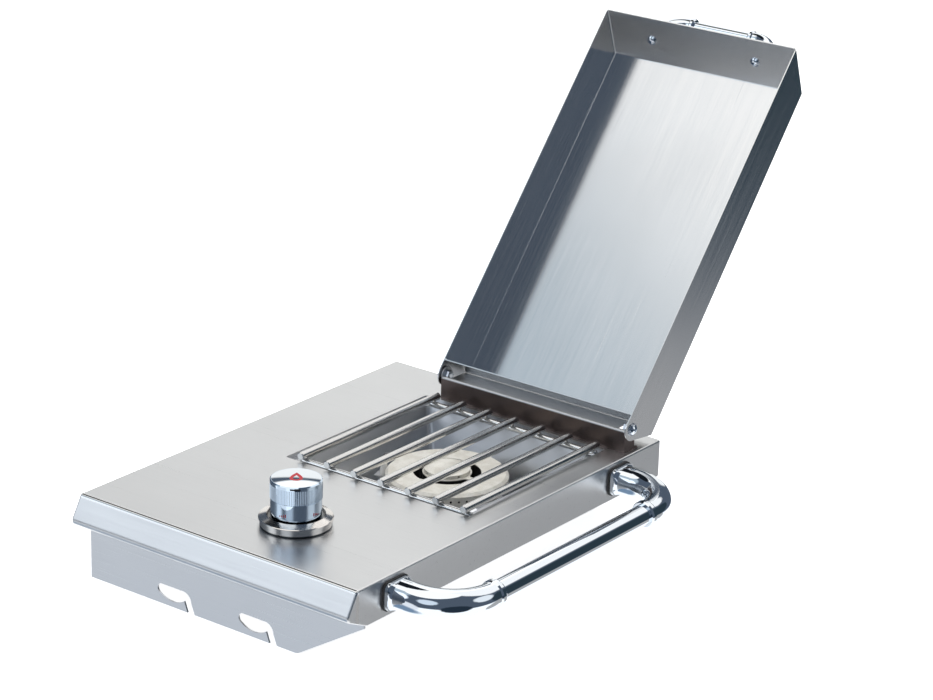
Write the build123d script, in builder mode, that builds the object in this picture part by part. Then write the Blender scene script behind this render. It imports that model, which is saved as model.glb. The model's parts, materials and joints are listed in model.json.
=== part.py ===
from build123d import *
from math import cos, degrees, radians, sin
import os

os.makedirs("parts", exist_ok=True)

# Gas side burner with a hinged lid, in millimetres.
# X runs from the barbecue side to the towel rail side, Y from the front nose to the back, Z up.
# The origin is the middle of the line of side screws, on the outer face of the left flange.

# ---- driving dimensions -------------------------------------------------------------------

# Deck
deck_width = 360.0          # over both side flanges
deck_depth = 504.0          # flat top, front bend to back face
flange_height = 41.0        # side and back flanges
sheet = 1.2                 # stainless sheet of deck, lid, pan and riser
fold_radius = 2.0           # outside radius of folded edges
nose_reach = 18.4           # sharp nose edge, in front of the flat top
nose_drop = 27.9            # sharp nose edge, below the deck top
nose_shoulder = 2.6         # start of the nose slope, in front of the flat top
nose_top_radius = 4.5
nose_tip_radius = 6.0
side_screw_spacing = 360.0
side_screw_hole = 6.6

# Grate opening
opening_left = 92.2         # deck edge to opening
opening_right = 28.8
opening_depth = 236.2
opening_back = 61.0
opening_radius = 2.0

# Hook plates
hook_sheet = 2.0
hook_setback = 10.0         # front face of the front plate, behind the front bend
hook_drop = 96.0            # bottom edge, below the deck top
hook_tab = 18.0             # top tab under the deck
hook_taper_start = 84.0     # taper start on the bottom edge, from the right edge of the deck
hook_taper_end = 44.0       # taper end, below the deck top
hook_corner = 12.0
slot_left = 93.0            # left end of the first hook slot
slot_pitch = 107.5
slot_count = 2
slot_length = 35.5          # left end to the lip
slot_height = 15.5          # deepest point of the seat, below the slot's top edge
slot_top = 74.5             # slot's top edge, below the deck top
slot_mouth = 9.5            # way in, at the bottom edge
slot_lip = 10.5             # lip, below the slot's top edge

# Hinge riser and lid
riser_setback = 56.5        # front face of the riser, in front of the deck's back face
riser_height = 25.0         # top face above the deck
riser_foot = 24.0
hinge_back = 9.0            # hinge line behind the riser's front face
hinge_lift = 25.0           # hinge line above the deck
ear_radius = 9.0
ear_relief = 12.0           # flange cut back beside each ear
rivet_diameter = 4.0
rivet_inset = 42.0          # first rivet from the ear
rivet_count = 4
hinge_bolt = 6.0
hinge_washer = 14.0
open_angle = 130.0          # lid rotation from rim level to the open stop
lid_left = 106.2            # deck edge to the outside of the lid
lid_right = 4.2
lid_overhang = 0.5          # front edge of the rim, behind the front bend
lid_rim = 12.5              # rim below the hinge line, and radius of the lid's hinge lug
lid_front_height = 37.1     # lid top above the hinge line, at the front corner
lid_back_height = 41.1      # lid top above the hinge line, at the back wall
lid_front_slant = 30.1      # front wall's top edge, behind its rim
lid_back_wall = 11.6        # back wall's outer face, in front of the hinge line
lid_inner_fold = 1.5        # inside radius of the lid's folds
lid_inner_fold = 1.5        # inside radius of the lid's folds
washer_thickness = 1.0
spacer_thickness = 1.5

# Grate
rod_count = 7
rod_diameter = 8.5
rod_length = 232.0
rod_rise = 6.0              # rod centre above the deck
rod_front_gap = -1.3        # rod end behind the front edge of the opening
rod_left_gap = 20.5         # first rod's centre to the left edge of the opening
rod_right_gap = 6.2         # last rod's centre to the right edge of the opening
bar_diameter = 7.0
bar_inset = 8.0             # crossbar centre from the rod ends
bar_sink = 0.4              # depth of the welded seat in a crossbar
bar_play = 1.2              # crossbar end to the opening's right edge

# Pan
pan_lip = 11.0              # flange under the deck, around the opening
pan_ledge = 11.0            # ledge that carries the crossbars
pan_drop = 72.0             # underside of the pan floor, below the deck top
pan_floor_margin = 16.0     # pan floor around the burner
pan_stud = 4.0
pan_stud_length = 8.0
pan_stud_spacing = 140.0    # front to back
pan_vent = 78.0             # air hole in the pan floor, under the burner
pan_corner = 6.0
foot_width = 30.0           # burner bracket
foot_flange = 14.0          # bracket foot on the pan floor
foot_overlap = 18.0         # bracket end beyond the air hole

# Burner
burner_diameter = 130.0
burner_top = 20.0           # top face below the deck top
burner_rim = 16.0           # height of the ported ring
burner_wall = 4.0
burner_edge = 3.0           # chamfer of the ported ring
hub_lip = 3.0               # hub's spigot up into the burner ring
hub_diameter = 48.0
hub_depth = 46.0            # hub underside below the burner's top face
foot_screw_spacing = 22.0
foot_screw = 4.0
kidney_radius = 31.0        # middle of the curved air openings
kidney_width = 10.0
kidney_span = 58.0          # degrees
kidney_count = 4
port_count = 48
port_diameter = 2.4
inner_cap_diameter = 49.0
inner_cap_rise = 8.0
cap_spigot = 3.0            # cap's spigot down into the hub
tube_bore = 22.0            # mixing tube
tube_wall = 1.5
tube_mouth = 36.0           # outside diameter of the flared mouth
tube_mouth_length = 22.0
tube_cone = 20.0
air_window = 12.0
air_window_span = 60.0      # degrees
air_window_count = 3
shutter_wall = 1.2
shutter_length = 18.0
shutter_screw_hex = 5.5
shutter_screw_height = 2.5
gas_line_drop = 50.0        # gas line's axis below the deck top
running_gap = 0.06          # radial clearance of turning and sliding fits
part_gap = 0.3              # clearance between pieces that move past each other
rest_gap = 0.2              # crossbars above the pan ledge, on their weld beads

# Control
knob_left = 213.5           # knob axis from the deck's left edge
knob_back = 80.5            # knob axis behind the front bend
knob_diameter = 51.4        # at the skirt
knob_top_diameter = 52.4
knob_height = 44.3
knob_lift = 5.0             # skirt above the deck
knob_travel = 3.0           # push travel
knob_wall = 2.6
knob_rim_height = 3.6       # smooth rim above the fluted band
knob_band_height = 16.3
knob_top_edge = 1.0
knob_flutes = 96
flute_radius = 0.5
band_groove = 0.5           # groove under the fluted band
knob_hub_wall = 3.5
clip_wall = 0.8
clip_height = 6.0
knob_cap_diameter = 49.6
knob_cap_depth = 1.2
knob_cap_dome = 1.7
pointer_angle = -52.0       # pointer direction, degrees from +X
pointer_width = 10.5
pointer_height = 1.8
pointer_depth = 1.5
bezel_diameter = 75.0       # at the lip
bezel_foot = 72.4           # on the deck
bezel_bore = 58.0
bezel_height = 12.0         # at the bore
bezel_lip_height = 9.4      # top of the lip
bezel_lip = 1.8
bezel_edge = 0.6
bezel_screw = 3.0
bezel_screw_spacing = 65.0
stem_diameter = 8.0
stem_flat = 1.5
stem_edge = 1.0
stem_hole = 16.0            # stem's way through the deck
stem_rise = 30.0            # stem end above the deck
stem_collar = 12.0
stem_collar_height = 2.5
stem_collar_drop = 9.0      # collar top below the deck top
spring_wire = 0.9
spring_turns = 6
spring_room = 2.5           # coil's wire line outside the stem
bracket_screw = 4.0
bracket_screw_spacing = 40.0
bracket_width = 28.0
bracket_flange = 10.0       # bracket's foot under the deck
bracket_sheet = 1.5
bonnet_diameter = 20.0
bonnet_height = 8.0
valve_width = 28.0
valve_length = 32.0
valve_height = 26.0
valve_corner = 4.0
inlet_diameter = 15.8       # flare thread
inlet_length = 16.0
inlet_hex = 19.0            # across flats
inlet_hex_length = 8.0
jet_length = 17.0           # from the valve face to the jet's tip
jet_hex = 12.0
jet_reach = 3.0             # jet's tip inside the mixing tube's mouth
jet_bore = 1.0
electrode_diameter = 6.5
electrode_length = 30.0
electrode_angle = 196.0     # around the burner, degrees from +X
electrode_wire = 1.8
electrode_collar = 3.0      # height of the collar on the ceramic
spark_rise = 5.0            # wire's rise before it bends to the burner

# Towel rail
rail_front = 54.0           # front base centre behind the front bend
rail_back = 75.5            # back base centre in front of the deck's back face
rail_stand_off = 72.0       # tube axis from the right flange
rail_tube = 22.0
rail_tube_wall = 1.0
rail_bend = 52.0
rail_neck = 12.0            # straight collar after the bend
rail_elbow_diameter = 32.0  # at the base end of the bend
rail_base_width = 37.0
rail_base_height = 29.0
rail_base_plate = 4.0
rail_screw = 6.0
elbow_wall = 2.0            # elbow socket around a tube
elbow_flare = 3.5           # from the base plate's outline to the round elbow
elbow_bead = 1.2            # rise of the bead on an elbow's collar

# Lid handle
handle_spacing = 136.0
handle_stand_off = 40.0
handle_tube = 12.0
handle_tube_wall = 1.0
handle_bend = 24.0
handle_neck = 8.0
handle_elbow_diameter = 18.0
handle_base_width = 20.0
handle_base_height = 18.0
handle_base_plate = 2.5
handle_screw = 5.0
gasket = 2.0
gasket_edge = 1.5           # gasket larger than the elbow's base

# ---- shared places worked out from the dimensions -------------------------------------------

deck_top = flange_height / 2
deck_under = deck_top - sheet
deck_front = -deck_depth / 2
deck_back = deck_depth / 2
hook_front = deck_front + hook_setback

opening_width = deck_width - opening_left - opening_right
opening_x = opening_left + opening_width / 2
opening_y = deck_back - opening_back - opening_depth / 2
opening_front = opening_y - opening_depth / 2

riser_front = deck_back - riser_setback
hinge_y = riser_front + hinge_back
hinge_z = deck_top + hinge_lift
lid_width = deck_width - lid_left - lid_right
lid_middle = lid_left + lid_width / 2
lid_length = hinge_y - deck_front - lid_overhang
ear_left = lid_left + sheet + spacer_thickness
ear_right = deck_width - lid_right - sheet - spacer_thickness

knob_x = knob_left
knob_y = deck_front + knob_back
gas_z = deck_top - gas_line_drop
valve_top = gas_z + valve_height / 2
bonnet_top = valve_top + bonnet_height
collar_z = deck_top - stem_collar_drop - stem_collar_height
jet_tip_y = knob_y + valve_length / 2 + jet_length
mouth_y = jet_tip_y - jet_reach
burner_x = knob_left
burner_y = opening_y
burner_z = deck_top - burner_top

rod_first = opening_left + rod_left_gap
rod_last = deck_width - opening_right - rod_right_gap
rod_pitch = (rod_last - rod_first) / (rod_count - 1)
rod_start = opening_front + rod_front_gap
rod_z = deck_top + rod_rise
bar_z = rod_z - rod_diameter / 2 - bar_diameter / 2 + bar_sink
ledge_top = bar_z - bar_diameter / 2 - rest_gap

pan_floor_top = deck_top - pan_drop + sheet
pan_floor_size = burner_diameter + 2 * pan_floor_margin

rivet_y = riser_front + 0.6 * riser_foot
rivet_step = (ear_right - ear_left - 2 * rivet_inset) / (rivet_count - 1)
rivet_places = [ear_left + rivet_inset + number * rivet_step for number in range(rivet_count)]

rail_z = 0.0
rail_front_y = deck_front + rail_front
rail_back_y = deck_back - rail_back


def finish(piece, name):
    """Label a finished piece and write it."""
    piece.part.label = name
    export_step(piece.part, "parts/" + name + ".step")


def side_of(base):
    """Plane that holds the x and z axes of the base plane, as its own x and y axes."""
    return Plane(origin=base.origin, x_dir=base.x_dir, z_dir=-base.y_dir)


def turned(base, points):
    """Solid of a closed outline of (radius, height) points, turned about the base plane's z axis."""
    with BuildPart() as piece:
        with BuildSketch(side_of(base)):
            with BuildLine():
                Polyline(*points, close=True)
            make_face()
        revolve(axis=Axis(base.origin, base.z_dir))
    return piece.part


def rod(base, diameter, length):
    """Round rod that stands on the base plane, with softened ends."""
    edge = 0.08 * diameter
    half = diameter / 2
    outline = [
        (0, 0), (half - edge, 0), (half, edge), (half, length - edge), (half - edge, length), (0, length),
    ]
    return turned(base, outline)


def ring(base, outer, inner, height):
    """Flat ring or round tube that stands on the base plane, by its two diameters."""
    with BuildPart() as piece:
        with BuildSketch(base):
            Circle(outer / 2)
            Circle(inner / 2, mode=Mode.SUBTRACT)
        extrude(amount=height)
    return piece.part


def hexagon(base, across_flats, height, bore=0.0):
    """Hexagonal nut or bolt head that stands on the base plane."""
    with BuildPart() as piece:
        with BuildSketch(base):
            RegularPolygon(across_flats / 2, 6, major_radius=False)
            if bore:
                Circle(bore / 2, mode=Mode.SUBTRACT)
        extrude(amount=height)
    return piece.part


def domed_screw(base, diameter, length, head_diameter, head_height, socket=0.0):
    """Screw with a domed head on the base plane, its shank behind it and a hexagonal socket in the head."""
    crown = (0, head_height)
    rim = (head_diameter / 2, 0.3 * head_height)
    with BuildPart() as piece:
        with BuildSketch(side_of(base)):
            with BuildLine():
                Polyline(crown, (0, -length), (diameter / 2, -length), (diameter / 2, 0),
                         (head_diameter / 2, 0), rim)
                TangentArc(crown, rim, tangent=(1, 0))
            make_face()
        revolve(axis=Axis(base.origin, base.z_dir))
        if socket:
            with BuildSketch(base.offset(head_height)):
                RegularPolygon(socket / 2, 6, major_radius=False)
            extrude(amount=-0.6 * head_height, mode=Mode.SUBTRACT)
    return piece.part


# ---- deck ---------------------------------------------------------------------------------

nose_points = [
    (deck_back, deck_top),
    (deck_front - nose_shoulder, deck_top),
    (deck_front - nose_reach, deck_top - nose_drop),
    (hook_front, -flange_height / 2),
    (deck_back, -flange_height / 2),
]

with BuildPart() as deck_panel:
    with BuildSketch(Plane.YZ) as deck_section:
        with BuildLine():
            Polyline(*nose_points, close=True)
        make_face()
        fillet(deck_section.vertices().sort_by(Axis.X)[0], nose_tip_radius)
        shoulder = deck_section.vertices().filter_by_position(Axis.Y, deck_top - 1, deck_top + 1)
        fillet(shoulder.sort_by(Axis.X)[0], nose_top_radius)
    extrude(amount=deck_width)
    side_edges = deck_panel.edges().group_by(Axis.X)[0] + deck_panel.edges().group_by(Axis.X)[-1]
    folded_edges = [edge for edge in side_edges if edge.center().Z > 0 or edge.center().Y < hook_front]
    fillet([edge for edge in folded_edges if edge.center().Y < deck_back - 1], fold_radius)
    with BuildSketch(Plane.YZ.offset(sheet)):
        offset(deck_section.sketch_local, amount=-sheet)
    extrude(amount=deck_width - 2 * sheet, mode=Mode.SUBTRACT)
    with BuildSketch(Plane.XY.offset(-flange_height / 2 - sheet)):
        with Locations((deck_width / 2, (hook_front + deck_back - sheet) / 2)):
            Rectangle(deck_width - 2 * sheet, deck_back - sheet - hook_front)
    extrude(amount=3 * sheet, mode=Mode.SUBTRACT)
    with BuildSketch(Plane.XY.offset(deck_under)):
        with Locations((opening_x, opening_y)):
            RectangleRounded(opening_width, opening_depth, opening_radius)
    extrude(amount=sheet, mode=Mode.SUBTRACT)
    with BuildSketch(Plane.XY.offset(deck_under)):
        with Locations((knob_x, knob_y)):
            Circle(stem_hole / 2)
            with GridLocations(bracket_screw_spacing, 0, 2, 1):
                Circle(bracket_screw / 2)
            with GridLocations(0, bezel_screw_spacing, 1, 2):
                Circle(bezel_screw / 2)
        with Locations(*[(x, rivet_y) for x in rivet_places]):
            Circle(rivet_diameter / 2)
    extrude(amount=sheet, mode=Mode.SUBTRACT)
    with BuildSketch(Plane.YZ):
        with GridLocations(side_screw_spacing, 0, 2, 1):
            Circle(side_screw_hole / 2)
    extrude(amount=sheet, mode=Mode.SUBTRACT)
    with BuildSketch(Plane.YZ.offset(deck_width - sheet)):
        with Locations((rail_front_y, rail_z), (rail_back_y, rail_z)):
            Circle(rail_screw / 2 + part_gap)
    extrude(amount=sheet, mode=Mode.SUBTRACT)

finish(deck_panel, "deck_panel")

# ---- hook plates ----------------------------------------------------------------------------

hook_left = sheet
hook_right = deck_width - sheet
hook_bottom = deck_top - hook_drop


def slot_outline(left):
    """Edges of a hook slot: a seat to the left and a mouth through the bottom edge."""
    top = deck_top - slot_top
    lip_x = left + slot_length
    wall_x = lip_x + slot_mouth
    end = [(left + slot_lip / 2, top), (left, top - 0.6 * slot_lip), (left + slot_lip / 3, top - slot_lip)]
    lip = (lip_x, top - slot_lip)
    wall = (wall_x, top - slot_lip)
    ThreePointArc(*end)
    ThreePointArc(end[2], (left + slot_length / 2, top - slot_height), lip)
    Polyline(lip, (lip_x + slot_mouth / 2, hook_bottom - 1), (wall_x + slot_mouth / 2, hook_bottom - 1), wall)
    ThreePointArc(wall, (wall_x - 0.3 * slot_lip, top - 0.3 * slot_lip), (wall_x - slot_lip, top))
    Line((wall_x - slot_lip, top), end[0])


def hook_plate(back_face, tab_front):
    """Plate that hangs the burner on its trolley, with a top tab welded under the deck."""
    with BuildPart() as plate:
        with BuildSketch(Plane.XZ.offset(-back_face)) as outline:
            with BuildLine():
                Polyline(
                    (hook_left, deck_under),
                    (hook_left, hook_bottom),
                    (deck_width - hook_taper_start, hook_bottom),
                    (hook_right, deck_top - hook_taper_end),
                    (hook_right, deck_under),
                    close=True,
                )
            make_face()
            fillet(outline.vertices().sort_by(Axis.Y)[:2].sort_by(Axis.X)[-1], hook_corner)
            for number in range(slot_count):
                with BuildLine():
                    slot_outline(slot_left + number * slot_pitch)
                make_face(mode=Mode.SUBTRACT)
        extrude(amount=hook_sheet)
        with BuildSketch(Plane.XY.offset(deck_under)):
            with Locations((hook_left, tab_front)):
                Rectangle(hook_right - hook_left, hook_tab, align=Align.MIN)
        extrude(amount=-hook_sheet)
    return plate


front_hook_plate = hook_plate(hook_front + hook_sheet, hook_front)
rear_hook_plate = hook_plate(deck_back - sheet, deck_back - sheet - hook_tab)

# ---- hinge riser ------------------------------------------------------------------------------

stop_lean = radians(180 - open_angle)
lid_lift = riser_height - hinge_lift
riser_top_back = hinge_y + (lid_back_wall - part_gap - lid_lift * sin(stop_lean)) / cos(stop_lean)

with BuildPart() as hinge_riser:
    with BuildSketch(Plane.YZ.offset(ear_left)):
        with Locations((riser_front, deck_top)):
            Rectangle(riser_top_back - riser_front, riser_height, align=Align.MIN)
        with Locations((riser_front + sheet, deck_top + sheet)):
            Rectangle(riser_top_back, riser_height - 2 * sheet, align=Align.MIN, mode=Mode.SUBTRACT)
        with Locations((riser_front + riser_foot, deck_top)):
            Rectangle(riser_top_back, sheet, align=Align.MIN, mode=Mode.SUBTRACT)
    extrude(amount=ear_right - ear_left)
    front_fold = hinge_riser.edges().filter_by(Axis.X).sort_by(Axis.Y)[:2].sort_by(Axis.Z)[-1]
    fillet(front_fold, fold_radius)
    with BuildSketch(Plane.XY.offset(hinge_z)):
        for x in (ear_left, ear_right - ear_relief):
            with Locations((x, riser_front + 2 * sheet)):
                Rectangle(ear_relief, riser_top_back - riser_front, align=Align.MIN)
    extrude(amount=-2 * sheet, mode=Mode.SUBTRACT)
    for ear in (ear_left, ear_right - sheet):
        with BuildSketch(Plane.YZ.offset(ear)):
            with Locations((hinge_y, hinge_z)):
                Circle(ear_radius)
            with Locations((riser_front, deck_top)):
                Rectangle(hinge_y + ear_radius - riser_front, hinge_lift, align=Align.MIN)
        extrude(amount=sheet)
        with BuildSketch(Plane.YZ.offset(ear)):
            with Locations((hinge_y, hinge_z)):
                Circle(hinge_bolt / 2)
        extrude(amount=sheet, mode=Mode.SUBTRACT)
    with BuildSketch(Plane.XY.offset(deck_top)):
        with Locations(*[(x, rivet_y) for x in rivet_places]):
            Circle(rivet_diameter / 2)
    extrude(amount=sheet, mode=Mode.SUBTRACT)

with BuildPart() as riser_rivets:
    for x in rivet_places:
        head = Plane((x, rivet_y, deck_top + sheet))
        tail = Plane(origin=(x, rivet_y, deck_under), x_dir=(1, 0, 0), z_dir=(0, 0, -1))
        add(domed_screw(head, rivet_diameter, 2 * sheet, 2 * rivet_diameter, 0.4 * rivet_diameter))
        add(turned(tail, [(0, 0), (0.8 * rivet_diameter, 0), (0.6 * rivet_diameter, 0.3 * rivet_diameter),
                          (0, 0.3 * rivet_diameter)]))

# ---- lid ----------------------------------------------------------------------------------------

lid_back_way = Vector(0, cos(radians(open_angle)), -sin(radians(open_angle)))
lid_up_way = Vector(0, sin(radians(open_angle)), cos(radians(open_angle)))
hinge_point = Vector(0, hinge_y, hinge_z)
lid_section = Plane(origin=hinge_point, x_dir=lid_back_way, z_dir=(1, 0, 0))

rim_front = (-lid_length, -lid_rim)
top_front = (lid_front_slant - lid_length, lid_front_height)
top_back = (-lid_back_wall, lid_back_height)
front_wall_height = lid_front_height + lid_rim
cavity_drop = 10.0
cavity_front = (-lid_length - cavity_drop * lid_front_slant / front_wall_height, -lid_rim - cavity_drop)

wall_length = (lid_front_slant**2 + front_wall_height**2) ** 0.5
front_wall_out = (lid_front_slant * lid_up_way - front_wall_height * lid_back_way) * (1 / wall_length)
front_wall_middle = (
    hinge_point
    + (lid_front_slant / 2 - lid_length) * lid_back_way
    + (lid_front_height - lid_rim) / 2 * lid_up_way
)

with BuildPart() as lid_cavity:
    with BuildSketch(lid_section.offset(lid_left + sheet)):
        with BuildLine():
            Polyline(cavity_front, top_front, top_back, (-lid_back_wall, cavity_front[1]), close=True)
        make_face()
        offset(amount=-sheet, mode=Mode.REPLACE)
    extrude(amount=lid_width - 2 * sheet)
    fillet(lid_cavity.edges().filter_by(
        lambda edge: lid_section.to_local_coords(edge.center()).Y > cavity_front[1] + 2 * sheet
    ), lid_inner_fold)

with BuildPart() as lid_shell:
    with BuildSketch(lid_section.offset(lid_left)):
        with BuildLine():
            Polyline(rim_front, top_front, top_back, close=True)
            CenterArc((0, 0), lid_rim, 0, 360)
        make_hull()
    extrude(amount=lid_width)
    lid_high = lid_shell.edges().filter_by(
        lambda edge: lid_section.to_local_coords(edge.center()).Y > -lid_rim / 2
        and lid_section.to_local_coords(edge.center()).X < -lid_back_wall + 0.1
    )
    fillet(lid_high, fold_radius)
    add(lid_cavity.part, mode=Mode.SUBTRACT)
    with BuildSketch(lid_section.offset(lid_left + sheet)):
        with Locations((-lid_back_wall, -2 * lid_rim)):
            Rectangle(3 * lid_rim, 2 * lid_rim + lid_back_height + 1, align=Align.MIN)
    extrude(amount=lid_width - 2 * sheet, mode=Mode.SUBTRACT)
    with BuildSketch(lid_section.offset(lid_left)):
        Circle(hinge_bolt / 2 + running_gap)
    extrude(amount=lid_width, mode=Mode.SUBTRACT)
    for side in (-1, 1):
        with BuildSketch(Plane(front_wall_middle + Vector(lid_middle + side * handle_spacing / 2, 0, 0),
                               x_dir=(1, 0, 0), z_dir=front_wall_out)):
            Circle(handle_screw / 2)
        extrude(amount=-2 * sheet, mode=Mode.SUBTRACT)

# ---- lid hinge hardware -----------------------------------------------------------------------

lid_outer = [lid_left, lid_left + lid_width]
ear_inner = [ear_left + sheet, ear_right - sheet]
hinge_ways = [-1, 1]


def hinge_plane(x, way):
    """Plane across the hinge line at x, facing away from the middle of the lid when way and x agree."""
    return Plane(origin=(x, hinge_y, hinge_z), x_dir=(0, 1, 0), z_dir=(way, 0, 0))


with BuildPart() as hinge_washers:
    for face, way in zip(lid_outer, hinge_ways):
        add(ring(hinge_plane(face + way * running_gap, way), hinge_washer, hinge_bolt, washer_thickness))

with BuildPart() as hinge_spacers:
    for face, way in zip((ear_left, ear_right), hinge_ways):
        add(ring(hinge_plane(face, way), hinge_washer - 2, hinge_bolt, spacer_thickness - running_gap))

with BuildPart() as hinge_bolts:
    for face, inside, way in zip(lid_outer, ear_inner, hinge_ways):
        head_face = face + way * (running_gap + washer_thickness)
        shank = abs(head_face - inside) + 0.9 * hinge_bolt
        add(domed_screw(hinge_plane(head_face, way), hinge_bolt, shank, 1.8 * hinge_bolt, 0.6 * hinge_bolt,
                        0.6 * hinge_bolt))

with BuildPart() as hinge_nuts:
    for inside, way in zip(ear_inner, hinge_ways):
        add(hexagon(hinge_plane(inside, -way), 1.65 * hinge_bolt, 0.8 * hinge_bolt, hinge_bolt))

# ---- bars with elbows: towel rail and lid handle ------------------------------------------------


def bar_elbow(base, width, height, plate, stand_off, bend, neck, fat, tube, screw):
    """Cast elbow that carries a tube: base plate, flare, bend, collar, tube socket and screw hole."""
    slim = tube + 2 * elbow_wall
    shoulder = 0.94         # size of the flare's foot on the base plate
    straight = stand_off - bend
    flare = plate + elbow_flare
    side = side_of(base)
    bend_end = Plane(
        origin=base.origin + base.x_dir * bend + base.z_dir * stand_off, x_dir=base.y_dir, z_dir=base.x_dir
    )
    with BuildPart() as elbow:
        with BuildSketch(base):
            RectangleRounded(width, height, height / 4)
        extrude(amount=plate)
        with BuildSketch(base.offset(plate)):
            RectangleRounded(shoulder * width, shoulder * height, height / 4)
        with BuildSketch(base.offset(flare)):
            Circle(fat / 2)
        loft()
        with BuildSketch(base.offset(flare)):
            Circle(fat / 2)
        extrude(amount=straight - flare)
        with BuildLine(side) as bend_line:
            CenterArc((bend, stand_off - bend), bend, 180, -90)
        with BuildSketch(base.offset(straight)):
            Circle(fat / 2)
        with BuildSketch(bend_end):
            Circle(slim / 2)
        sweep(path=bend_line.wire(), multisection=True)
        bead = 0.7 * neck
        crest = slim / 2 + elbow_bead
        add(turned(bend_end, [
            (0, 0), (slim / 2, 0), (slim / 2, neck - bead), (crest, neck - 0.75 * bead),
            (crest, neck - 0.25 * bead), (slim / 2, neck), (0, neck)]))
        with BuildSketch(bend_end.offset(neck)):
            Circle(tube / 2)
        extrude(amount=-neck, mode=Mode.SUBTRACT)
        with BuildSketch(base):
            Circle(screw / 2)
        extrude(amount=2 * screw, mode=Mode.SUBTRACT)
    return elbow


def rail_base(y, way, stand):
    """Plane of a towel rail base at y; its x axis runs along the rail towards the other base."""
    return Plane(origin=(deck_width + stand, y, rail_z), x_dir=(0, way, 0), z_dir=(1, 0, 0))


def handle_base(side):
    """Plane of a lid handle base on the front wall; its x axis runs towards the other base."""
    centre = front_wall_middle + Vector(lid_middle + side * handle_spacing / 2, 0, 0)
    return Plane(origin=centre, x_dir=(-side, 0, 0), z_dir=front_wall_out)


rail_elbow_front, rail_elbow_rear = [
    bar_elbow(rail_base(y, way, gasket), rail_base_width, rail_base_height, rail_base_plate, rail_stand_off,
              rail_bend, rail_neck, rail_elbow_diameter, rail_tube, rail_screw)
    for y, way in ((rail_front_y, 1), (rail_back_y, -1))
]

rail_axis = deck_width + gasket + rail_stand_off
with BuildPart() as rail_bar:
    add(ring(Plane(origin=(rail_axis, rail_front_y + rail_bend, rail_z), x_dir=(1, 0, 0), z_dir=(0, 1, 0)),
             rail_tube, rail_tube - 2 * rail_tube_wall, rail_back_y - rail_front_y - 2 * rail_bend))

with BuildPart() as rail_gaskets:
    for y in (rail_front_y, rail_back_y):
        with BuildSketch(rail_base(y, 1, 0)):
            RectangleRounded(rail_base_width + gasket_edge, rail_base_height + gasket_edge,
                             rail_base_height / 4)
            Circle(rail_screw / 2 + part_gap, mode=Mode.SUBTRACT)
        extrude(amount=gasket)

with BuildPart() as rail_washers:
    for y in (rail_front_y, rail_back_y):
        inside = Plane(origin=(deck_width - sheet, y, rail_z), x_dir=(0, 1, 0), z_dir=(-1, 0, 0))
        add(ring(inside, 2.4 * rail_screw, rail_screw, washer_thickness))

with BuildPart() as rail_screws:
    for y in (rail_front_y, rail_back_y):
        under_head = deck_width - sheet - washer_thickness
        inside = Plane(origin=(under_head, y, rail_z), x_dir=(0, 1, 0), z_dir=(-1, 0, 0))
        add(domed_screw(inside, rail_screw, sheet + washer_thickness + gasket + 1.6 * rail_screw,
                        1.9 * rail_screw, 0.6 * rail_screw))

handle_elbow_left, handle_elbow_right = [
    bar_elbow(handle_base(side), handle_base_width, handle_base_height, handle_base_plate, handle_stand_off,
              handle_bend, handle_neck, handle_elbow_diameter, handle_tube, handle_screw)
    for side in (-1, 1)
]

handle_foot = handle_base(-1)
handle_start = handle_foot.origin + handle_foot.z_dir * handle_stand_off + handle_foot.x_dir * handle_bend
with BuildPart() as handle_bar:
    add(ring(Plane(origin=handle_start, x_dir=front_wall_out, z_dir=(1, 0, 0)),
             handle_tube, handle_tube - 2 * handle_tube_wall, handle_spacing - 2 * handle_bend))

with BuildPart() as handle_screws:
    for side in (-1, 1):
        outside = handle_base(side)
        inside = Plane(origin=outside.origin - outside.z_dir * sheet, x_dir=outside.x_dir,
                       z_dir=-outside.z_dir)
        add(domed_screw(inside, handle_screw, sheet + 1.8 * handle_screw, 2.2 * handle_screw,
                        0.75 * handle_screw, 0.7 * handle_screw))

# ---- grate --------------------------------------------------------------------------------------

rod_places = [rod_first + number * rod_pitch for number in range(rod_count)]
grate_rods = []
for x in rod_places:
    with BuildPart() as grate_rod:
        add(rod(Plane(origin=(x, rod_start, rod_z), x_dir=(1, 0, 0), z_dir=(0, 1, 0)),
                rod_diameter, rod_length))
    grate_rods.append(grate_rod)

bar_start = max(rod_first - rod_diameter / 2, lid_left + sheet + 2 * part_gap)
bar_end = deck_width - opening_right - bar_play


def grate_bar(y):
    """Crossbar under the rods, with a shallow welded seat for each rod."""
    with BuildPart() as bar:
        add(rod(Plane(origin=(bar_start, y, bar_z), x_dir=(0, 1, 0), z_dir=(1, 0, 0)),
                bar_diameter, bar_end - bar_start))
        with BuildSketch(Plane.XZ.offset(-y - bar_diameter)):
            with Locations(*[(x, rod_z) for x in rod_places]):
                Circle(rod_diameter / 2)
        extrude(amount=2 * bar_diameter, mode=Mode.SUBTRACT)
    return bar


grate_front_bar = grate_bar(rod_start + bar_inset)
grate_rear_bar = grate_bar(rod_start + rod_length - bar_inset)

# ---- pan ------------------------------------------------------------------------------------------

stud_places = [
    (opening_x + side * (opening_width + pan_lip + sheet) / 2, opening_y + end * pan_stud_spacing / 2)
    for side in (-1, 1) for end in (-1, 1)
]
ledge_width = opening_width - 2 * pan_ledge
ledge_depth = opening_depth - 2 * pan_ledge
ledge_under = ledge_top - sheet
tube_outside = tube_bore + 2 * tube_wall
hub_bottom = burner_z - hub_depth
foot_reach = pan_vent / 2 + foot_overlap
foot_bolt_x = foot_reach - foot_flange / 2

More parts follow.
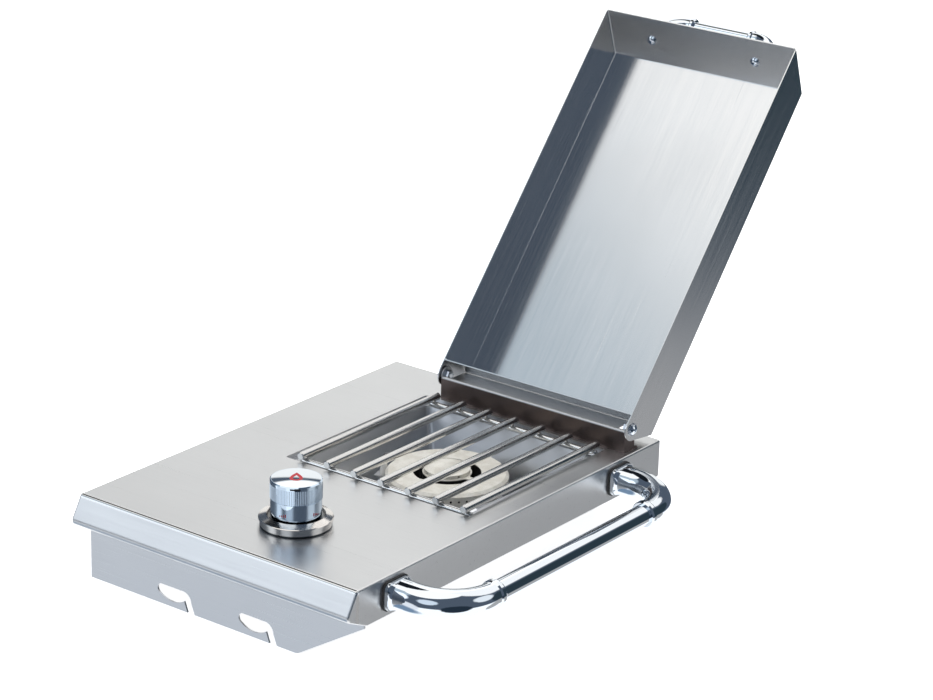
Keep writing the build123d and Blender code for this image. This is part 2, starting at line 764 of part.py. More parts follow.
with BuildPart() as pan_frame:
    with BuildSketch(Plane.XY.offset(deck_under)):
        with Locations((opening_x, opening_y)):
            Rectangle(opening_width + 2 * pan_lip, opening_depth + 2 * pan_lip)
        with Locations(*stud_places):
            Circle(pan_stud / 2 + part_gap, mode=Mode.SUBTRACT)
    extrude(amount=-sheet)
    with BuildSketch(Plane.XY.offset(deck_under)):
        with Locations((opening_x, opening_y)):
            Rectangle(opening_width + 2 * sheet, opening_depth + 2 * sheet)
    extrude(amount=ledge_under - deck_under)
    with BuildSketch(Plane.XY.offset(deck_under)):
        with Locations((opening_x, opening_y)):
            RectangleRounded(opening_width, opening_depth, opening_radius)
    extrude(amount=ledge_top - deck_under, mode=Mode.SUBTRACT)
    with BuildSketch(Plane.XY.offset(ledge_top)):
        with Locations((opening_x, opening_y)):
            RectangleRounded(ledge_width, ledge_depth, pan_corner)
    extrude(amount=-sheet, mode=Mode.SUBTRACT)

with BuildPart() as burner_pan:
    with BuildSketch(Plane.XY.offset(ledge_under)):
        with Locations((opening_x, opening_y)):
            RectangleRounded(ledge_width + 2 * sheet, ledge_depth + 2 * sheet, pan_corner + sheet)
    with BuildSketch(Plane.XY.offset(pan_floor_top - sheet)):
        with Locations((burner_x, burner_y)):
            RectangleRounded(pan_floor_size + 2 * sheet, pan_floor_size + 2 * sheet, pan_corner + sheet)
    loft()
    with BuildSketch(Plane.XY.offset(ledge_under)):
        with Locations((opening_x, opening_y)):
            RectangleRounded(ledge_width, ledge_depth, pan_corner)
    with BuildSketch(Plane.XY.offset(pan_floor_top)):
        with Locations((burner_x, burner_y)):
            RectangleRounded(pan_floor_size, pan_floor_size, pan_corner)
    loft(mode=Mode.SUBTRACT)
    with BuildSketch(Plane.XY.offset(pan_floor_top)):
        with Locations((burner_x, burner_y)):
            Circle(pan_vent / 2)
            with GridLocations(2 * foot_bolt_x, 0, 2, 1):
                Circle(foot_screw / 2)
    extrude(amount=-sheet, mode=Mode.SUBTRACT)
    with BuildSketch(Plane.XZ.offset(-opening_front)):
        with Locations((burner_x, gas_z)):
            Circle(tube_outside / 2 + part_gap)
    extrude(amount=-opening_depth / 2, mode=Mode.SUBTRACT)

with BuildPart() as pan_studs:
    for x, y in stud_places:
        add(rod(Plane(origin=(x, y, deck_under), x_dir=(1, 0, 0), z_dir=(0, 0, -1)),
                pan_stud, pan_stud_length))

with BuildPart() as pan_nuts:
    for x, y in stud_places:
        add(hexagon(Plane(origin=(x, y, deck_under - sheet), x_dir=(1, 0, 0), z_dir=(0, 0, -1)),
                    1.75 * pan_stud, 0.8 * pan_stud, pan_stud))

# ---- burner -----------------------------------------------------------------------------------------

burner_base = Plane((burner_x, burner_y, burner_z))
burner_radius = burner_diameter / 2
hub_radius = hub_diameter / 2
chamber = hub_radius - burner_wall
channel_inner = kidney_radius + kidney_width / 2 + burner_wall
channel_outer = burner_radius - burner_wall
channel_middle = -burner_rim / 2
cut_over = 1.0              # drill paths run past the wall they cut
hub_end_y = burner_y - chamber


def spokes(height, count, first, start, end, radius):
    """Round drill paths that run outwards from the burner's axis, at a height above its top face."""
    with BuildPart() as drills:
        for number in range(count):
            angle = radians((number + first) * 360 / count)
            way = Vector(cos(angle), sin(angle), 0)
            origin = burner_base.origin + Vector(0, 0, height) + way * start
            with BuildSketch(Plane(origin=origin, x_dir=(0, 0, 1), z_dir=way)):
                Circle(radius)
            extrude(amount=end - start)
    return drills.part


def kidney_outline(start):
    """Edges of a curved air opening around the burner's axis, from its start angle."""
    inner = CenterArc((0, 0), kidney_radius - kidney_width / 2, start, kidney_span)
    outer = CenterArc((0, 0), kidney_radius + kidney_width / 2, start, kidney_span)
    cap = degrees(kidney_width / 2 / kidney_radius)
    for end, angle in ((0, start - cap), (1, start + kidney_span + cap)):
        tip = (kidney_radius * cos(radians(angle)), kidney_radius * sin(radians(angle)))
        ThreePointArc(inner @ end, tip, outer @ end)


with BuildPart() as burner_body:
    add(turned(burner_base, [
        (chamber, 0), (burner_radius - burner_edge, 0), (burner_radius, -burner_edge),
        (burner_radius, burner_edge - burner_rim), (burner_radius - burner_edge, -burner_rim),
        (chamber, -burner_rim)]))
    with BuildSketch(burner_base.offset(-burner_rim + burner_wall)):
        Circle(channel_outer)
        Circle(channel_inner, mode=Mode.SUBTRACT)
    extrude(amount=burner_rim - 2 * burner_wall, mode=Mode.SUBTRACT)
    with BuildSketch(burner_base.offset(-burner_rim)):
        for number in range(kidney_count):
            with BuildLine():
                kidney_outline((number + 0.5) * 360 / kidney_count - kidney_span / 2)
            make_face()
    extrude(amount=burner_rim, both=True, mode=Mode.SUBTRACT)
    add(spokes(channel_middle, kidney_count, 0, chamber - cut_over, channel_inner + cut_over, burner_wall),
        mode=Mode.SUBTRACT)
    add(spokes(channel_middle, port_count, 0.5, channel_outer - cut_over, burner_radius + cut_over,
               port_diameter / 2), mode=Mode.SUBTRACT)
    with BuildSketch(burner_base.offset(-burner_rim)):
        Circle(chamber + hub_lip / 2)
    extrude(amount=hub_lip, mode=Mode.SUBTRACT)

with BuildPart() as burner_hub:
    add(turned(burner_base, [
        (chamber, hub_lip - burner_rim), (chamber + hub_lip / 2, hub_lip - burner_rim),
        (chamber + hub_lip / 2, -burner_rim), (hub_radius, -burner_rim), (hub_radius, -hub_depth),
        (0, -hub_depth), (0, burner_wall - hub_depth), (chamber, burner_wall - hub_depth)]))
    with BuildSketch(Plane(origin=(burner_x, burner_y, gas_z), x_dir=(1, 0, 0), z_dir=(0, -1, 0))):
        Circle(tube_outside / 2)
    extrude(amount=hub_radius + cut_over, mode=Mode.SUBTRACT)
    with BuildSketch(burner_base.offset(-hub_depth)):
        with GridLocations(foot_screw_spacing, 0, 2, 1):
            Circle(foot_screw / 2)
    extrude(amount=burner_wall, mode=Mode.SUBTRACT)

cap_radius = inner_cap_diameter / 2
cap_crown = (0, inner_cap_rise)
cap_rim = (cap_radius, 0.55 * inner_cap_rise)
with BuildPart() as inner_cap:
    with BuildSketch(side_of(burner_base)):
        with BuildLine():
            Polyline(cap_crown, (0, -cap_spigot), (chamber - running_gap, -cap_spigot),
                     (chamber - running_gap, 0), (cap_radius, 0), cap_rim)
            TangentArc(cap_crown, cap_rim, tangent=(1, 0))
        make_face()
    revolve(axis=Axis(burner_base.origin, (0, 0, 1)))
    with BuildSketch(burner_base.offset(-cap_spigot)):
        Circle(chamber - burner_wall)
    extrude(amount=0.5 * inner_cap_rise + cap_spigot, mode=Mode.SUBTRACT)
    add(spokes(0.28 * inner_cap_rise, 2 * kidney_count, 0.5, chamber - burner_wall - cut_over,
               cap_radius + cut_over, port_diameter / 2), mode=Mode.SUBTRACT)

foot_span = 2 * (foot_reach - foot_flange)
foot_height = hub_bottom - pan_floor_top
with BuildPart() as burner_bracket:
    with BuildSketch(Plane.XZ.offset(-burner_y - foot_width / 2)):
        with Locations((burner_x, pan_floor_top)):
            Rectangle(2 * foot_reach, bracket_sheet, align=(Align.CENTER, Align.MIN))
            Rectangle(foot_span, foot_height, align=(Align.CENTER, Align.MIN))
            Rectangle(foot_span - 2 * bracket_sheet, foot_height - bracket_sheet,
                      align=(Align.CENTER, Align.MIN), mode=Mode.SUBTRACT)
    extrude(amount=foot_width)
    with BuildSketch(Plane.XY.offset(hub_bottom)):
        with Locations((burner_x, burner_y)):
            with GridLocations(foot_screw_spacing, 0, 2, 1):
                Circle(foot_screw / 2)
            with GridLocations(2 * foot_bolt_x, 0, 2, 1):
                Circle(foot_screw / 2)
    extrude(amount=-hub_depth, mode=Mode.SUBTRACT)

with BuildPart() as burner_screws:
    for side in (-1, 1):
        low = Plane(origin=(burner_x + side * foot_screw_spacing / 2, burner_y, hub_bottom - bracket_sheet),
                    x_dir=(1, 0, 0), z_dir=(0, 0, -1))
        add(domed_screw(low, foot_screw, bracket_sheet + burner_wall, 1.8 * foot_screw, 0.5 * foot_screw))
        high = Plane((burner_x + side * foot_bolt_x, burner_y, pan_floor_top + bracket_sheet))
        add(domed_screw(high, foot_screw, bracket_sheet + sheet + foot_screw, 1.8 * foot_screw,
                        0.5 * foot_screw))

# Igniter electrode beside the burner
electrode_way = Vector(cos(radians(electrode_angle)), sin(radians(electrode_angle)), 0)
electrode_out = burner_radius + electrode_diameter
electrode_foot = Vector(burner_x, burner_y, burner_z - burner_rim - bracket_sheet)
electrode_axis = electrode_foot + electrode_way * electrode_out
electrode_base = Plane(origin=electrode_axis - Vector(0, 0, electrode_length / 3), x_dir=electrode_way,
                       z_dir=(0, 0, 1))
igniter_screw_out = channel_outer - 2 * burner_wall

with BuildPart() as igniter_bracket:
    with BuildSketch(Plane(origin=electrode_foot, x_dir=electrode_way, z_dir=(0, 0, 1))):
        with Locations((igniter_screw_out - burner_wall, 0)):
            Rectangle(electrode_out + 2 * electrode_diameter - igniter_screw_out, 2 * electrode_diameter,
                      align=(Align.MIN, Align.CENTER))
        with Locations((electrode_out, 0)):
            Circle(electrode_diameter / 2, mode=Mode.SUBTRACT)
        with Locations((igniter_screw_out, 0)):
            Circle(foot_screw / 2, mode=Mode.SUBTRACT)
    extrude(amount=bracket_sheet)

with BuildPart() as igniter_ceramic:
    shoulder = electrode_length / 3
    add(turned(electrode_base, [
        (0, 0), (0.35 * electrode_diameter, 0), (electrode_diameter / 2, 0.3 * electrode_diameter),
        (electrode_diameter / 2, shoulder + bracket_sheet),
        (0.7 * electrode_diameter, shoulder + bracket_sheet),
        (0.7 * electrode_diameter, shoulder + bracket_sheet + electrode_collar),
        (0.4 * electrode_diameter, electrode_length), (0, electrode_length)]))

tip_base = electrode_base.offset(electrode_length)
with BuildPart() as igniter_tip:
    with BuildLine(side_of(tip_base)) as tip_line:
        FilletPolyline((0, 0), (0, spark_rise), (-electrode_diameter, spark_rise + electrode_wire),
                       radius=electrode_wire)
    with BuildSketch(tip_base):
        Circle(electrode_wire / 2)
    sweep(path=tip_line.wire())

with BuildPart() as igniter_screw:
    low = Plane(origin=electrode_foot + electrode_way * igniter_screw_out, x_dir=electrode_way,
                z_dir=(0, 0, -1))
    add(domed_screw(low, foot_screw, bracket_sheet, 1.8 * foot_screw, 0.5 * foot_screw))

# ---- mixing tube and air shutter ------------------------------------------------------------------

mouth_base = Plane(origin=(burner_x, mouth_y, gas_z), x_dir=(1, 0, 0), z_dir=(0, 1, 0))
mouth_radius = tube_mouth / 2
tube_radius = tube_outside / 2
tube_length = hub_end_y - mouth_y
shutter_start = (tube_mouth_length - shutter_length) / 2


def air_windows(radius):
    """Wedges that cut the air windows through a tube of the given outside radius."""
    reach = 1.5 * radius
    spread = radians(air_window_span / 2)
    with BuildPart() as wedges:
        with BuildSketch(mouth_base.offset((tube_mouth_length - air_window) / 2)):
            for number in range(air_window_count):
                middle = radians(90 + number * 360 / air_window_count)
                corners = [
                    (reach * cos(angle), reach * sin(angle)) for angle in (middle - spread, middle + spread)
                ]
                with BuildLine():
                    Polyline((0, 0), *corners, close=True)
                make_face()
        extrude(amount=air_window)
    return wedges.part


with BuildPart() as mixing_tube:
    add(turned(mouth_base, [
        (mouth_radius - tube_wall, tube_wall), (mouth_radius - tube_wall, tube_mouth_length),
        (tube_radius - tube_wall, tube_mouth_length + tube_cone), (tube_radius - tube_wall, tube_length),
        (tube_radius, tube_length), (tube_radius, tube_mouth_length + tube_cone),
        (mouth_radius, tube_mouth_length), (mouth_radius, 0), (jet_hex / 3 + part_gap, 0),
        (jet_hex / 3 + part_gap, tube_wall)]))
    add(air_windows(mouth_radius), mode=Mode.SUBTRACT)

with BuildPart() as air_shutter:
    with BuildSketch(mouth_base.offset(shutter_start)):
        Circle(mouth_radius + running_gap + shutter_wall)
        Circle(mouth_radius + running_gap, mode=Mode.SUBTRACT)
    extrude(amount=shutter_length)
    add(air_windows(mouth_radius + shutter_wall), mode=Mode.SUBTRACT)

with BuildPart() as shutter_screw:
    outside = Plane(
        origin=(burner_x, mouth_y + tube_mouth_length / 2, gas_z - mouth_radius - running_gap - shutter_wall),
        x_dir=(1, 0, 0), z_dir=(0, 0, -1))
    add(hexagon(outside, shutter_screw_hex, shutter_screw_height))
    add(hexagon(outside.offset(shutter_screw_height), 0.6 * shutter_screw_hex, 0.6 * shutter_screw_height))

# ---- valve ----------------------------------------------------------------------------------------

knob_axis = Plane((knob_x, knob_y, 0))
valve_face = knob_y + valve_length / 2

with BuildPart() as valve_body:
    with BuildSketch(Plane.XY.offset(gas_z - valve_height / 2)):
        with Locations((knob_x, knob_y)):
            RectangleRounded(valve_width, valve_length, valve_corner)
    extrude(amount=valve_height)
    with BuildSketch(Plane.XY.offset(valve_top)):
        with Locations((knob_x, knob_y)):
            Circle(bonnet_diameter / 2)
    extrude(amount=bonnet_height)
    with BuildSketch(Plane.XY.offset(bonnet_top)):
        with Locations((knob_x, knob_y)):
            Circle(stem_diameter / 2 + running_gap)
    extrude(amount=-(bonnet_height + valve_height / 2), mode=Mode.SUBTRACT)

bracket_leg = (bracket_screw_spacing - bracket_flange) / 2
with BuildPart() as valve_bracket:
    with BuildSketch(Plane.XZ.offset(-knob_y - bracket_width / 2)):
        with Locations((knob_x, valve_top)):
            Rectangle(2 * bracket_leg, deck_under - valve_top, align=(Align.CENTER, Align.MIN))
        with Locations((knob_x, valve_top + bracket_sheet)):
            Rectangle(2 * (bracket_leg - bracket_sheet), deck_under - valve_top,
                      align=(Align.CENTER, Align.MIN), mode=Mode.SUBTRACT)
        with Locations((knob_x, deck_under)):
            Rectangle(2 * (bracket_leg + bracket_flange), bracket_sheet, align=(Align.CENTER, Align.MAX))
            Rectangle(2 * (bracket_leg - bracket_sheet), bracket_sheet, align=(Align.CENTER, Align.MAX),
                      mode=Mode.SUBTRACT)
    extrude(amount=bracket_width)
    with BuildSketch(Plane.XY.offset(valve_top)):
        with Locations((knob_x, knob_y)):
            Circle(bonnet_diameter / 2)
    extrude(amount=bracket_sheet, mode=Mode.SUBTRACT)
    with BuildSketch(Plane.XY.offset(deck_under)):
        with Locations((knob_x, knob_y)):
            with GridLocations(bracket_screw_spacing, 0, 2, 1):
                Circle(bracket_screw / 2)
    extrude(amount=-bracket_sheet, mode=Mode.SUBTRACT)

with BuildPart() as bracket_screws:
    for side in (-1, 1):
        top = Plane((knob_x + side * bracket_screw_spacing / 2, knob_y, deck_top))
        add(domed_screw(top, bracket_screw, sheet + 3 * bracket_sheet, 1.7 * bracket_screw,
                        0.35 * bracket_screw))

with BuildPart() as gas_jet:
    face = Plane(origin=(knob_x, valve_face, gas_z), x_dir=(1, 0, 0), z_dir=(0, 1, 0))
    add(hexagon(face, jet_hex, 0.5 * jet_length))
    add(turned(face, [
        (jet_bore / 2, 0.5 * jet_length), (jet_hex / 3, 0.5 * jet_length), (jet_hex / 3, 0.8 * jet_length),
        (jet_hex / 5, jet_length), (jet_bore / 2, jet_length)]))

inlet_face = knob_x - valve_width / 2
with BuildPart() as inlet_seal:
    add(ring(Plane(origin=(inlet_face, knob_y, gas_z), x_dir=(0, 1, 0), z_dir=(-1, 0, 0)),
             0.95 * inlet_hex, 0.5 * inlet_diameter, washer_thickness))

with BuildPart() as inlet_fitting:
    inlet = Plane(origin=(inlet_face - washer_thickness, knob_y, gas_z), x_dir=(0, 1, 0), z_dir=(-1, 0, 0))
    add(hexagon(inlet, inlet_hex, inlet_hex_length))
    with BuildSketch(inlet.offset(inlet_hex_length)):
        Circle(inlet_diameter / 2)
    extrude(amount=inlet_length)
    with BuildSketch(inlet):
        Circle(0.25 * inlet_diameter)
    extrude(amount=inlet_hex_length + inlet_length, mode=Mode.SUBTRACT)

# ---- stem, spring and knob ------------------------------------------------------------------------

stem_bottom = valve_top - 2 * knob_travel
stem_top = deck_top + stem_rise
knob_bottom = deck_top + knob_lift
knob_top = knob_bottom + knob_height
washer_z = collar_z - running_gap - washer_thickness

with BuildPart() as valve_stem:
    stem_radius = stem_diameter / 2
    collar_radius = stem_collar / 2
    collar_top = collar_z + stem_collar_height
    add(turned(knob_axis, [
        (0, stem_bottom), (stem_radius, stem_bottom), (stem_radius, collar_z), (collar_radius, collar_z),
        (collar_radius, collar_top), (stem_radius, collar_top), (stem_radius, stem_top - stem_edge),
        (stem_radius - stem_edge, stem_top), (0, stem_top)]))
    with BuildSketch(Plane.XY.offset(knob_bottom)):
        with Locations((knob_x + stem_radius - stem_flat, knob_y)):
            Rectangle(stem_radius, stem_diameter, align=(Align.MIN, Align.CENTER))
    extrude(amount=stem_rise, mode=Mode.SUBTRACT)

with BuildPart() as spring_washer:
    add(ring(Plane((knob_x, knob_y, washer_z)), 1.5 * stem_collar, stem_diameter + 2 * running_gap,
             washer_thickness))

with BuildPart() as stem_spring:
    coil_radius = stem_radius + spring_room
    coil_start = Plane((knob_x, knob_y, bonnet_top + spring_wire / 2))
    coil_height = washer_z - bonnet_top - spring_wire
    with BuildLine(coil_start) as coil:
        Helix(pitch=coil_height / spring_turns, height=coil_height, radius=coil_radius)
    with BuildSketch(Plane(origin=coil.line @ 0, z_dir=coil.line % 0)):
        Circle(spring_wire / 2)
    sweep(path=coil.wire(), is_frenet=True)

knob_skirt = knob_diameter / 2
knob_edge = knob_top_diameter / 2
band_bottom = knob_top - knob_rim_height - knob_band_height
knob_hub = stem_radius + knob_hub_wall
pointer_way = Vector(cos(radians(pointer_angle)), sin(radians(pointer_angle)), 0)
knob_outline = [
    (0, knob_top), (knob_edge - knob_top_edge, knob_top), (knob_edge, knob_top - knob_top_edge),
    (knob_edge, band_bottom + band_groove), (knob_edge - band_groove, band_bottom),
    (knob_skirt, knob_bottom), (0, knob_bottom)]
pointer_middle = (knob_x, knob_y, knob_top - (knob_rim_height + knob_top_edge) / 2)
pointer_plane = Plane(origin=Vector(*pointer_middle) + pointer_way * knob_edge,
                      x_dir=pointer_way.cross(Vector(0, 0, 1)), z_dir=pointer_way)

with BuildPart() as knob:
    add(turned(knob_axis, knob_outline))
    with BuildSketch(Plane.XY.offset(knob_bottom)):
        with Locations((knob_x, knob_y)):
            Circle(knob_skirt - knob_wall)
            Circle(knob_hub, mode=Mode.SUBTRACT)
    extrude(amount=knob_height - knob_cap_depth - knob_wall, mode=Mode.SUBTRACT)
    with BuildSketch(Plane.XY.offset(knob_bottom)):
        with Locations((knob_x, knob_y)):
            Circle(stem_radius)
            with Locations((stem_radius - stem_flat, 0)):
                Rectangle(stem_radius, stem_diameter, align=(Align.MIN, Align.CENTER), mode=Mode.SUBTRACT)
    extrude(amount=stem_top - knob_bottom, mode=Mode.SUBTRACT)
    with BuildSketch(Plane.XY.offset(knob_top)):
        with Locations((knob_x, knob_y)):
            Circle(knob_cap_diameter / 2)
    extrude(amount=-knob_cap_depth, mode=Mode.SUBTRACT)
    with BuildSketch(Plane.XY.offset(band_bottom + band_groove)):
        with Locations((knob_x, knob_y)):
            with PolarLocations(knob_edge + 0.3 * flute_radius, knob_flutes):
                Circle(flute_radius)
    extrude(amount=knob_band_height - 2 * band_groove, mode=Mode.SUBTRACT)
    with BuildSketch(pointer_plane):
        Rectangle(pointer_width, pointer_height)
    extrude(amount=pointer_depth, both=True, mode=Mode.SUBTRACT)

with BuildPart() as knob_pointer:
    add(turned(knob_axis, knob_outline))
    with BuildSketch(pointer_plane):
        Rectangle(pointer_width, pointer_height)
    extrude(amount=pointer_depth, both=True, mode=Mode.INTERSECT)

with BuildPart() as knob_cap:
    cap_base = Plane((knob_x, knob_y, knob_top - knob_cap_depth))
    cap_top = (0, knob_cap_depth + knob_cap_dome)
    cap_edge = (knob_cap_diameter / 2, knob_cap_depth)
    with BuildSketch(side_of(cap_base)):
        with BuildLine():
            Polyline(cap_top, (0, 0), (knob_cap_diameter / 2, 0), cap_edge)
            TangentArc(cap_top, cap_edge, tangent=(1, 0))
        make_face()
    revolve(axis=Axis(cap_base.origin, (0, 0, 1)))

with BuildPart() as knob_clip:
    add(ring(Plane((knob_x, knob_y, knob_bottom + clip_height / 2)), 2 * (knob_hub + clip_wall), 2 * knob_hub,
             clip_height))

bezel_radius = bezel_diameter / 2
bezel_wall = bezel_foot / 2
with BuildPart() as bezel:
    add(turned(Plane((knob_x, knob_y, deck_top)), [
        (bezel_bore / 2, 0), (bezel_wall, 0), (bezel_wall, bezel_lip_height - bezel_lip - bezel_edge),
        (bezel_radius, bezel_lip_height - bezel_lip), (bezel_radius, bezel_lip_height - bezel_edge),
        (bezel_radius - bezel_edge, bezel_lip_height), (bezel_bore / 2 + bezel_edge, bezel_height),
        (bezel_bore / 2, bezel_height - bezel_edge)]))
    with BuildSketch(Plane.XY.offset(deck_top)):
        with Locations((knob_x, knob_y)):
            with GridLocations(0, bezel_screw_spacing, 1, 2):
                Circle(bezel_screw / 2)
    extrude(amount=bezel_height / 2, mode=Mode.SUBTRACT)

with BuildPart() as bezel_screws:
    for side in (-1, 1):
        low = Plane(origin=(knob_x, knob_y + side * bezel_screw_spacing / 2, deck_under), x_dir=(1, 0, 0),
                    z_dir=(0, 0, -1))
        add(domed_screw(low, bezel_screw, sheet + bezel_height / 2, 1.9 * bezel_screw, 0.6 * bezel_screw))

# ---- write every piece ------------------------------------------------------------------------------

pieces = {
    "front_hook_plate": front_hook_plate,
    "rear_hook_plate": rear_hook_plate,
    "hinge_riser": hinge_riser,
    "riser_rivets": riser_rivets,
    "lid_shell": lid_shell,
    "hinge_washers": hinge_washers,
    "hinge_spacers": hinge_spacers,
    "hinge_bolts": hinge_bolts,
    "hinge_nuts": hinge_nuts,
    "rail_elbow_front": rail_elbow_front,
    "rail_elbow_rear": rail_elbow_rear,
    "rail_bar": rail_bar,
    "rail_gaskets": rail_gaskets,
    "rail_washers": rail_washers,
    "rail_screws": rail_screws,
    "handle_elbow_left": handle_elbow_left,
    "handle_elbow_right": handle_elbow_right,
    "handle_bar": handle_bar,
    "handle_screws": handle_screws,
    "grate_front_bar": grate_front_bar,
    "grate_rear_bar": grate_rear_bar,
    "pan_frame": pan_frame,
    "burner_pan": burner_pan,
    "pan_studs": pan_studs,
    "pan_nuts": pan_nuts,
    "burner_body": burner_body,
    "burner_hub": burner_hub,
    "inner_cap": inner_cap,
    "burner_bracket": burner_bracket,
    "burner_screws": burner_screws,
    "igniter_bracket": igniter_bracket,
    "igniter_ceramic": igniter_ceramic,
    "igniter_tip": igniter_tip,
    "igniter_screw": igniter_screw,
    "mixing_tube": mixing_tube,
    "air_shutter": air_shutter,
    "shutter_screw": shutter_screw,
    "valve_body": valve_body,
    "valve_bracket": valve_bracket,
    "bracket_screws": bracket_screws,
    "gas_jet": gas_jet,
    "inlet_seal": inlet_seal,
    "inlet_fitting": inlet_fitting,
    "valve_stem": valve_stem,
    "spring_washer": spring_washer,
    "stem_spring": stem_spring,
    "knob": knob,
    "knob_pointer": knob_pointer,
    "knob_cap": knob_cap,
    "knob_clip": knob_clip,
    "bezel": bezel,
    "bezel_screws": bezel_screws,
}
for number, grate_rod in enumerate(grate_rods, start=1):
    pieces["grate_rod_" + str(number)] = grate_rod
for name, piece in pieces.items():
    finish(piece, name)
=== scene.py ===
import json
import math

import bmesh
import bpy
from mathutils import Matrix, Vector


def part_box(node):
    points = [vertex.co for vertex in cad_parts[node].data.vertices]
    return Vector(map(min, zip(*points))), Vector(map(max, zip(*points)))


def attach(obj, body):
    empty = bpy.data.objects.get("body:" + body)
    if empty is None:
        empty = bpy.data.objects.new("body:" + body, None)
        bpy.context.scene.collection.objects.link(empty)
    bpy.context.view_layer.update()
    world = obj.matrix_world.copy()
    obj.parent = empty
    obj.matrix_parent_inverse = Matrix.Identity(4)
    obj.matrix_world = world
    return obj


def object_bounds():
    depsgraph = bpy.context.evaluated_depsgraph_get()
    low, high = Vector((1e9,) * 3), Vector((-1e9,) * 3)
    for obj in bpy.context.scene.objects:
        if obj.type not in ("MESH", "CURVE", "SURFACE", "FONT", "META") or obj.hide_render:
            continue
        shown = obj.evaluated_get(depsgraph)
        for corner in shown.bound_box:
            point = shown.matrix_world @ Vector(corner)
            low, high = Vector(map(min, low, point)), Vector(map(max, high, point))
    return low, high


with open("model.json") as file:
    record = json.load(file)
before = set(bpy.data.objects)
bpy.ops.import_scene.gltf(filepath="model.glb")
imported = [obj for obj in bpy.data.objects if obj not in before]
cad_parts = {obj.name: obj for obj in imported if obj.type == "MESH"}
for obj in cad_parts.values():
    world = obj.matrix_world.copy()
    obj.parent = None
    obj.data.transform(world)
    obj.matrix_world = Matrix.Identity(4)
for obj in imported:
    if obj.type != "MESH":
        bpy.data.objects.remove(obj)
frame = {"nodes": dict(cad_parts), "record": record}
cad_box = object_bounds()

NODES = frame["nodes"]
MM = 0.001
OPEN_ANGLE = math.radians(130.0)    # lid rotation from rim level to the open stop

# ---- camera --------------------------------------------------------------------------------------

CAMERA_PLACE = Vector((2.0489, -2.3437, 1.2587))
CAMERA_YAW = math.radians(-36.903)
CAMERA_PITCH = math.radians(-20.296)
CAMERA_ROLL = math.radians(1.645)
CAMERA_LENS = 120.86


def make_camera():
    ahead = Vector((
        math.sin(CAMERA_YAW) * math.cos(CAMERA_PITCH),
        math.cos(CAMERA_YAW) * math.cos(CAMERA_PITCH),
        math.sin(CAMERA_PITCH),
    ))
    level = Vector((math.cos(CAMERA_YAW), -math.sin(CAMERA_YAW), 0.0))
    above = level.cross(ahead)
    right = math.cos(CAMERA_ROLL) * level + math.sin(CAMERA_ROLL) * above
    up = -math.sin(CAMERA_ROLL) * level + math.cos(CAMERA_ROLL) * above
    turn = Matrix((right, up, -ahead)).transposed().to_4x4()
    data = bpy.data.cameras.new("camera")
    data.lens = CAMERA_LENS
    data.sensor_width = 36.0
    data.clip_end = 60.0
    camera = bpy.data.objects.new("camera", data)
    camera.matrix_world = Matrix.Translation(CAMERA_PLACE) @ turn
    bpy.context.scene.collection.objects.link(camera)
    bpy.context.scene.camera = camera


# ---- node helpers --------------------------------------------------------------------------------


class Nodes:
    """A material's or a world's node tree, with short ways to add and join nodes."""

    def __init__(self, tree):
        self.tree = tree
        self.tree.nodes.clear()

    def add(self, kind, **settings):
        node = self.tree.nodes.new(kind)
        for key, value in settings.items():
            setattr(node, key, value)
        return node

    def put(self, socket, value):
        """Join an output to a socket, or set the socket when the value is a plain one."""
        if isinstance(value, bpy.types.NodeSocket):
            self.tree.links.new(value, socket)
        else:
            socket.default_value = value

    def math(self, operation, *values, clamp=False):
        node = self.add("ShaderNodeMath", operation=operation, use_clamp=clamp)
        for socket, value in zip(node.inputs, values):
            self.put(socket, value)
        return node.outputs[0]

    def ramp(self, value, low, high, out_low=0.0, out_high=1.0, smooth=True):
        node = self.add("ShaderNodeMapRange", interpolation_type="SMOOTHSTEP" if smooth else "LINEAR")
        for socket, item in zip(node.inputs, (value, low, high, out_low, out_high)):
            self.put(socket, item)
        return node.outputs[0]

    def mix(self, share, first, second):
        node = self.add("ShaderNodeMix", data_type="RGBA")
        self.put(node.inputs[0], share)
        self.put(node.inputs[6], first)
        self.put(node.inputs[7], second)
        return node.outputs[2]

    def place(self, scale=(1, 1, 1), turn=(0, 0, 0)):
        """Object coordinates, turned and then scaled."""
        spot = self.add("ShaderNodeTexCoord")
        turned = self.add("ShaderNodeMapping")
        self.put(turned.inputs["Vector"], spot.outputs["Object"])
        turned.inputs["Rotation"].default_value = turn
        scaled = self.add("ShaderNodeMapping")
        self.put(scaled.inputs["Vector"], turned.outputs[0])
        scaled.inputs["Scale"].default_value = scale
        return scaled.outputs[0]

    def noise(self, vector, scale=1.0, detail=2.0, roughness=0.5):
        node = self.add("ShaderNodeTexNoise")
        self.put(node.inputs["Vector"], vector)
        node.inputs["Scale"].default_value = scale
        node.inputs["Detail"].default_value = detail
        node.inputs["Roughness"].default_value = roughness
        return node.outputs["Fac"]

    def bump(self, height, distance, strength=1.0, normal=None):
        node = self.add("ShaderNodeBump")
        node.inputs["Distance"].default_value = distance
        node.inputs["Strength"].default_value = strength
        self.put(node.inputs["Height"], height)
        if normal is not None:
            self.put(node.inputs["Normal"], normal)
        return node.outputs[0]


def colour(red, green, blue):
    return (red, green, blue, 1.0)


def new_material(name):
    material = bpy.data.materials.new(name)
    material.use_nodes = True
    nodes = Nodes(material.node_tree)
    shader = nodes.add("ShaderNodeBsdfPrincipled")
    output = nodes.add("ShaderNodeOutputMaterial")
    nodes.put(output.inputs["Surface"], shader.outputs[0])
    return material, nodes, shader


# ---- materials -----------------------------------------------------------------------------------


